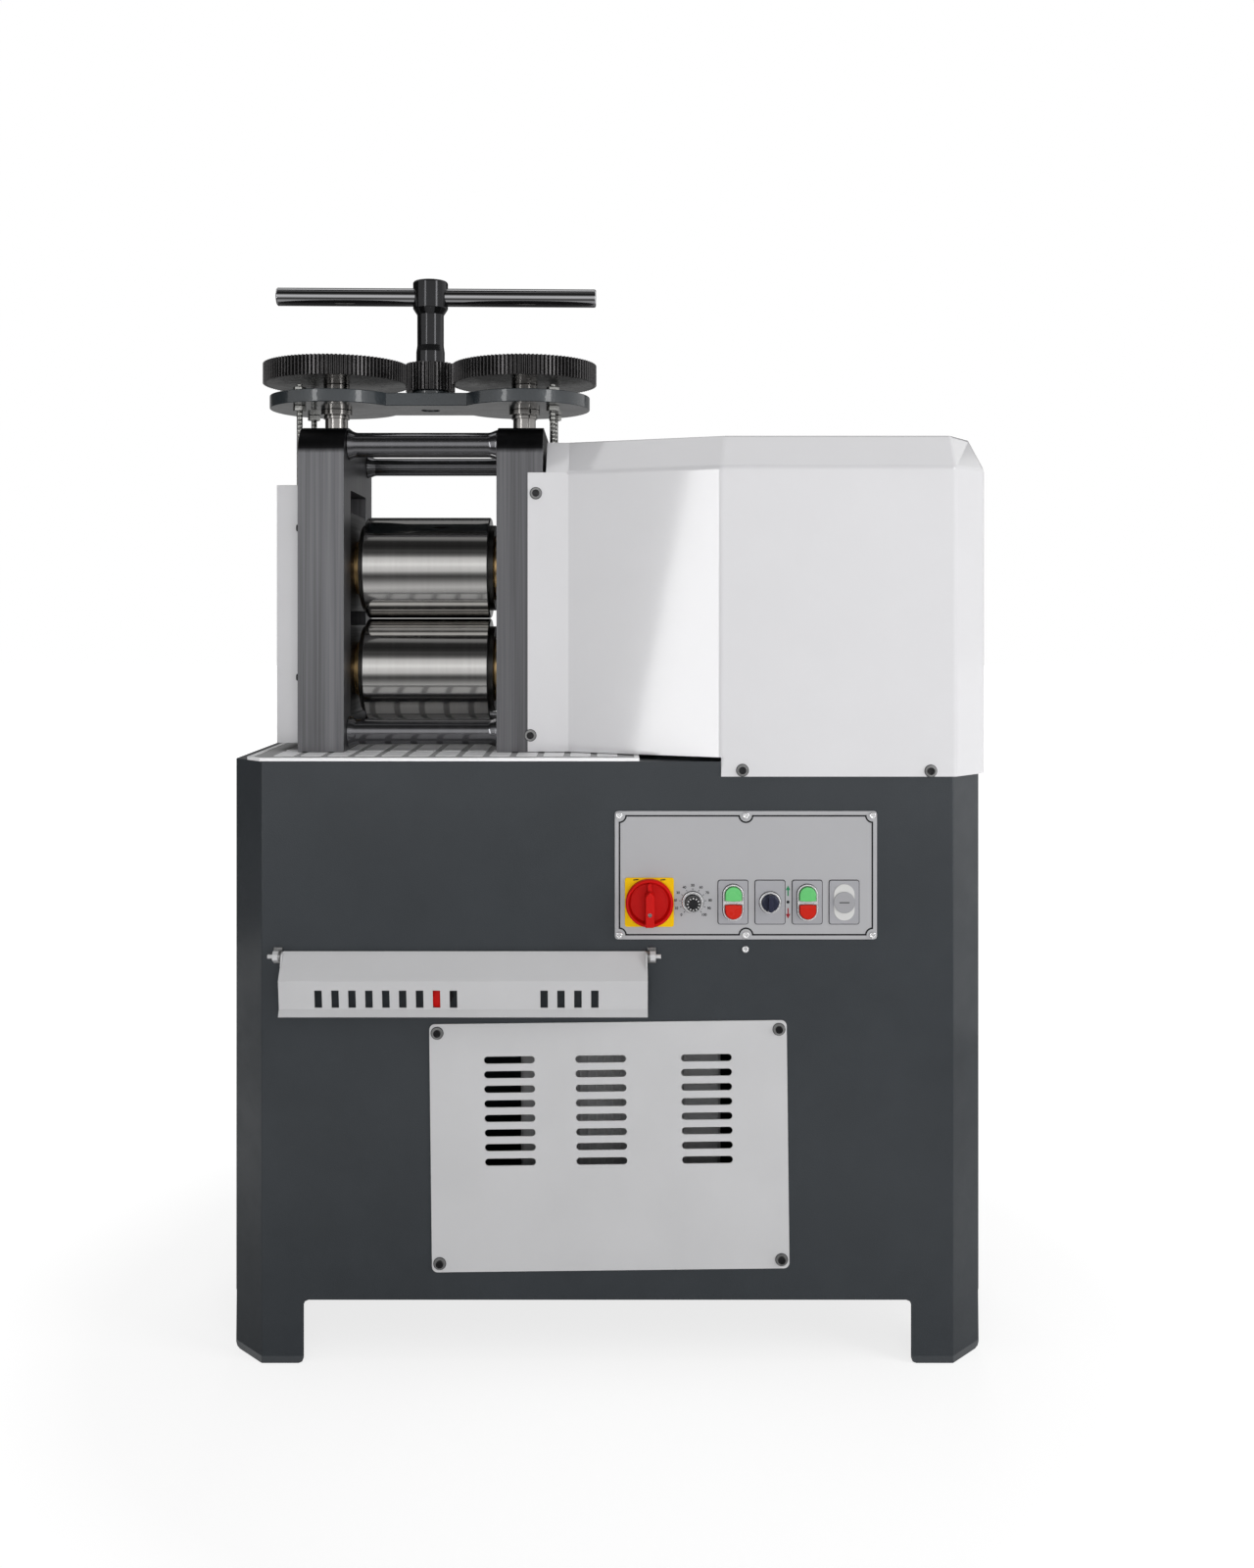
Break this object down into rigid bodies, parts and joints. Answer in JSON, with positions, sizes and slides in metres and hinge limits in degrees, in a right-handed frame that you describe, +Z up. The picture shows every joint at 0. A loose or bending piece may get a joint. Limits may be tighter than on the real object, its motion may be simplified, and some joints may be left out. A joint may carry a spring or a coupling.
{
  "type": "jewellers rolling mill",
  "caption": "Floor-standing motor-driven rolling mill: twin-roll stand with a T-handle gap screw, sheet gear cover, cabinet, control panel and hinged stop bar.",
  "frame": {"origin": "on the floor under the middle of the mill's overall box", "axes": "+X to the operator's right, +Y away from the operator, +Z up"},
  "size_m": [1.078, 0.4692, 1.5709],
  "materials": {
    "cabinet_paint": "textured dark blue-grey powder coat",
    "white_paint": "glossy light powder coat",
    "grey_paint": "semi-gloss dark grey paint",
    "blackened_steel": "milled and blackened steel",
    "black_steel": "black oxide, lightly polished",
    "ground_steel": "ground and polished hardened steel",
    "bronze": "turned bearing bronze",
    "zinc": "zinc plated steel",
    "motor_paint": "painted casting",
    "inverter_case": "grey moulded case",
    "panel_film": "white panel film on sheet",
    "pale_plastic": "pale moulded plastic",
    "yellow_plastic": "yellow plastic",
    "red_plastic": "red plastic",
    "green_lens": "green lens",
    "black_plastic": "black plastic",
    "chrome": "bright chrome"
  },
  "bodies": {
    "machine": {"cabinet_shell": "cabinet_paint", "cabinet_top_plate": "cabinet_paint", "base_shelf": "cabinet_paint", "vent_cover": "white_paint", "drip_tray": "white_paint", "left_housing": "blackened_steel", "right_housing": "blackened_steel", "front_upper_tie_bar": "black_steel", "rear_upper_tie_bar": "black_steel", "front_lower_tie_bar": "black_steel", "rear_lower_tie_bar": "black_steel", "left_lower_block": "blackened_steel", "right_lower_block": "blackened_steel", "left_lower_bush": "bronze", "right_lower_bush": "bronze", "left_guard": "white_paint", "gear_cover": "white_paint", "gearbox": "motor_paint", "drive_motor": "motor_paint", "inverter_box": "inverter_case", "control_panel": "panel_film", "main_switch_base": "yellow_plastic", "speed_dial_ring": "chrome", "left_button_unit": "chrome", "selector_unit": "chrome", "right_button_unit": "chrome", "blank_plug_unit": "pale_plastic", "left_hinge_bracket": "zinc", "right_hinge_bracket": "zinc", "stop_switch": "black_plastic"},
    "screw_carriage": {"bridge_plate": "grey_paint", "front_left_lift_rod": "zinc", "rear_left_lift_rod": "zinc", "front_right_lift_rod": "zinc", "rear_right_lift_rod": "zinc", "left_upper_block": "blackened_steel", "right_upper_block": "blackened_steel", "left_upper_bush": "bronze", "right_upper_bush": "bronze"},
    "top_roll_set": {"top_roll": "ground_steel", "top_roll_gear": "black_steel"},
    "bottom_roll_set": {"bottom_roll": "ground_steel", "bottom_roll_gear": "black_steel", "drive_coupling": "blackened_steel"},
    "left_screw": {"left_spindle": "ground_steel", "left_screw_gear": "black_steel"},
    "right_screw": {"right_spindle": "ground_steel", "right_screw_gear": "black_steel"},
    "gap_handle": {"handle_hub": "black_steel", "handle_bar": "black_steel", "handle_pinion": "black_steel"},
    "stop_bar_body": {"stop_bar": "white_paint"},
    "stop_plunger_body": {"stop_plunger": "red_plastic"},
    "main_switch_body": {"main_switch_handle": "red_plastic"},
    "speed_knob_body": {"speed_knob": "black_plastic"},
    "selector_body": {"selector_knob": "black_plastic"},
    "left_start_body": {"left_start_button": "green_lens"},
    "left_stop_body": {"left_stop_button": "red_plastic"},
    "right_start_body": {"right_start_button": "green_lens"},
    "right_stop_body": {"right_stop_button": "red_plastic"}
  },
  "joints": [
    {"name": "gap_handle_turn", "type": "hinge", "parent": "screw_carriage", "child": "gap_handle", "pos_m": [-0.279, 0.0173, 1.3908], "axis": [0, 0, 1], "range_deg": [-2749, 55]},
    {"name": "carriage_lift", "type": "slide", "parent": "machine", "child": "screw_carriage", "axis": [0, 0, 1], "range_m": [-0.0002, 0.01]},
    {"name": "left_screw_turn", "type": "hinge", "parent": "screw_carriage", "child": "left_screw", "pos_m": [-0.425, 0.0173, 1.3713], "axis": [0, 0, 1], "range_deg": [-18, 900]},
    {"name": "right_screw_turn", "type": "hinge", "parent": "screw_carriage", "child": "right_screw", "pos_m": [-0.133, 0.0173, 1.3713], "axis": [0, 0, 1], "range_deg": [-18, 900]},
    {"name": "bottom_roll_spin", "type": "hinge", "parent": "machine", "child": "bottom_roll_set", "pos_m": [-0.279, 0.0173, 0.97029], "axis": [1, 0, 0], "continuous": true},
    {"name": "top_roll_spin", "type": "hinge", "parent": "screw_carriage", "child": "top_roll_set", "pos_m": [-0.279, 0.0173, 1.12673], "axis": [1, 0, 0], "continuous": true},
    {"name": "stop_bar_press", "type": "hinge", "parent": "machine", "child": "stop_bar_body", "pos_m": [-0.461, -0.2087, 0.575], "axis": [1, 0, 0], "range_deg": [0, 2.4], "stiffness_Nm_per_rad": 5, "springref_deg": -2.29},
    {"name": "stop_plunger_press", "type": "slide", "parent": "machine", "child": "stop_plunger_body", "axis": [0, 1, 0], "range_m": [0, 0.003]},
    {"name": "main_switch_turn", "type": "hinge", "parent": "machine", "child": "main_switch_body", "pos_m": [0.055, -0.2026, 0.6496], "axis": [0, 1, 0], "range_deg": [0, 90]},
    {"name": "speed_knob_turn", "type": "hinge", "parent": "machine", "child": "speed_knob_body", "pos_m": [0.116, -0.2036, 0.6496], "axis": [0, 1, 0], "range_deg": [-150, 150]},
    {"name": "selector_turn", "type": "hinge", "parent": "machine", "child": "selector_body", "pos_m": [0.2247, -0.2068, 0.6496], "axis": [0, 1, 0], "range_deg": [-45, 45]},
    {"name": "left_start_press", "type": "slide", "parent": "machine", "child": "left_start_body", "axis": [0, 1, 0], "range_m": [0, 0.003], "stiffness_N_per_m": 400},
    {"name": "left_stop_press", "type": "slide", "parent": "machine", "child": "left_stop_body", "axis": [0, 1, 0], "range_m": [0, 0.003], "stiffness_N_per_m": 400},
    {"name": "right_start_press", "type": "slide", "parent": "machine", "child": "right_start_body", "axis": [0, 1, 0], "range_m": [0, 0.003], "stiffness_N_per_m": 400},
    {"name": "right_stop_press", "type": "slide", "parent": "machine", "child": "right_stop_body", "axis": [0, 1, 0], "range_m": [0, 0.003], "stiffness_N_per_m": 400}
  ],
  "couplings": [
    {"joint": "carriage_lift", "follows": "gap_handle_turn", "m_per_rad": -0.00020835},
    {"joint": "left_screw_turn", "follows": "gap_handle_turn", "ratio": -0.32727},
    {"joint": "right_screw_turn", "follows": "gap_handle_turn", "ratio": -0.32727},
    {"joint": "top_roll_spin", "follows": "bottom_roll_spin", "ratio": -1},
    {"joint": "stop_plunger_press", "follows": "stop_bar_press", "m_per_rad": 0.07}
  ]
}
